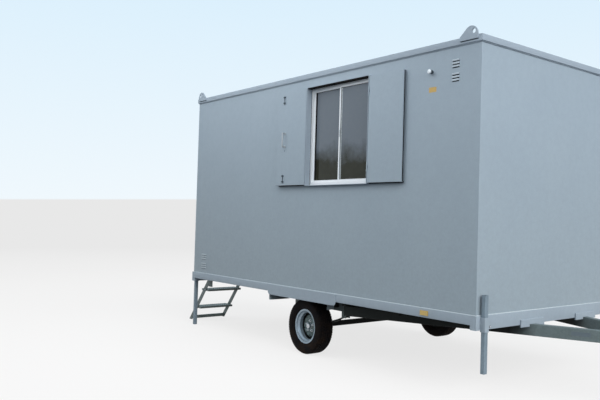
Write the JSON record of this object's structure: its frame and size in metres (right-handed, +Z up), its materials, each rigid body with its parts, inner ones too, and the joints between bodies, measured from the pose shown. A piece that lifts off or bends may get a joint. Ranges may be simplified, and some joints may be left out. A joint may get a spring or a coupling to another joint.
{
  "type": "towable site cabin",
  "caption": "Towable steel site cabin: box body on road wheels with an A-frame drawbar, shuttered sliding window, rear door and steps, corner legs and lifting lugs.",
  "frame": {"origin": "on the ground, on the cabin's centreline, under the middle of the overall length from towing eye to step foot", "axes": "+X towards the drawbar, +Y towards the side without a window, +Z up"},
  "size_m": [6.9105, 2.395, 3.0645],
  "materials": {
    "panel_paint": "lightly textured satin grey paint on steel sheet",
    "roof_paint": "satin grey paint on steel sheet",
    "frame_paint": "satin grey paint on rolled steel",
    "door_paint": "satin grey paint",
    "underframe_black": "dull black chassis paint",
    "galvanised": "hot-dip galvanised",
    "bright_steel": "zinc-plated",
    "window_aluminium": "mill-finish extrusion",
    "window_glass": "clear float glass",
    "tyre_rubber": "dusty rubber",
    "solid_rubber": "solid rubber",
    "floor_ply": "plywood",
    "amber_lens": "moulded reflector"
  },
  "bodies": {
    "cabin": {"floor_deck": "floor_ply", "floor_joists": "underframe_black", "side_rails": "frame_paint", "end_rails": "frame_paint", "wall_near": "panel_paint", "wall_far": "panel_paint", "wall_front": "panel_paint", "wall_rear_near": "panel_paint", "wall_rear_far": "panel_paint", "wall_rear_head": "panel_paint", "roof_panel": "roof_paint", "roof_side_rails": "frame_paint", "roof_end_rails": "frame_paint", "lifting_lugs": "frame_paint", "window_surround": "frame_paint", "window_frame": "window_aluminium", "sash_front": "window_aluminium", "sash_rear": "window_aluminium", "window_panes": "window_glass", "shutter_hinges": "bright_steel", "louvre_vents": "panel_paint", "pipe_stub": "bright_steel", "side_reflectors": "amber_lens", "leg_sleeves": "frame_paint", "door_frame": "door_paint", "door_leaf": "door_paint", "step_stringers": "galvanised", "step_treads": "galvanised", "wheel_side_plates": "frame_paint", "drawbar_beam_near": "frame_paint", "drawbar_beam_far": "frame_paint", "drawbar_cleats": "frame_paint", "chassis_cross_beams": "underframe_black", "spring_rails": "underframe_black", "leaf_springs": "underframe_black", "axle_beam": "underframe_black", "tow_coupling": "frame_paint", "jockey_stand": "galvanised", "jockey_wheel": "solid_rubber"},
    "wheel_near": {"rim_near": "galvanised", "tyre_near": "tyre_rubber"},
    "wheel_far": {"rim_far": "galvanised", "tyre_far": "tyre_rubber"},
    "shutter_front": {"shutter_front": "panel_paint"},
    "shutter_rear": {"shutter_rear": "panel_paint", "shutter_fittings": "bright_steel"},
    "leg_near_front": {"leg_near_front": "galvanised"},
    "leg_far_front": {"leg_far_front": "galvanised"},
    "leg_near_rear": {"leg_near_rear": "galvanised"},
    "leg_far_rear": {"leg_far_rear": "galvanised"}
  },
  "joints": [
    {"name": "wheel_near_spin", "type": "hinge", "parent": "cabin", "child": "wheel_near", "pos_m": [-0.48021, -1.0005, 0.2945], "axis": [0, 1, 0], "continuous": true},
    {"name": "wheel_far_spin", "type": "hinge", "parent": "cabin", "child": "wheel_far", "pos_m": [-0.48021, 1.0005, 0.2945], "axis": [0, 1, 0], "continuous": true},
    {"name": "shutter_rear_swing", "type": "hinge", "parent": "cabin", "child": "shutter_rear", "pos_m": [-0.41371, -1.1855, 2.312], "axis": [0, 0, 1], "range_deg": [0, 180]},
    {"name": "shutter_front_swing", "type": "hinge", "parent": "cabin", "child": "shutter_front", "pos_m": [0.60329, -1.1855, 2.312], "axis": [0, 0, -1], "range_deg": [0, 180]},
    {"name": "leg_near_front_slide", "type": "slide", "parent": "cabin", "child": "leg_near_front", "axis": [0, 0, 1], "range_m": [-0.2395, 0.25]},
    {"name": "leg_far_front_slide", "type": "slide", "parent": "cabin", "child": "leg_far_front", "axis": [0, 0, 1], "range_m": [-0.2395, 0.25]},
    {"name": "leg_near_rear_slide", "type": "slide", "parent": "cabin", "child": "leg_near_rear", "axis": [0, 0, 1], "range_m": [0, 0.4895]},
    {"name": "leg_far_rear_slide", "type": "slide", "parent": "cabin", "child": "leg_far_rear", "axis": [0, 0, 1], "range_m": [0, 0.4895]}
  ]
}
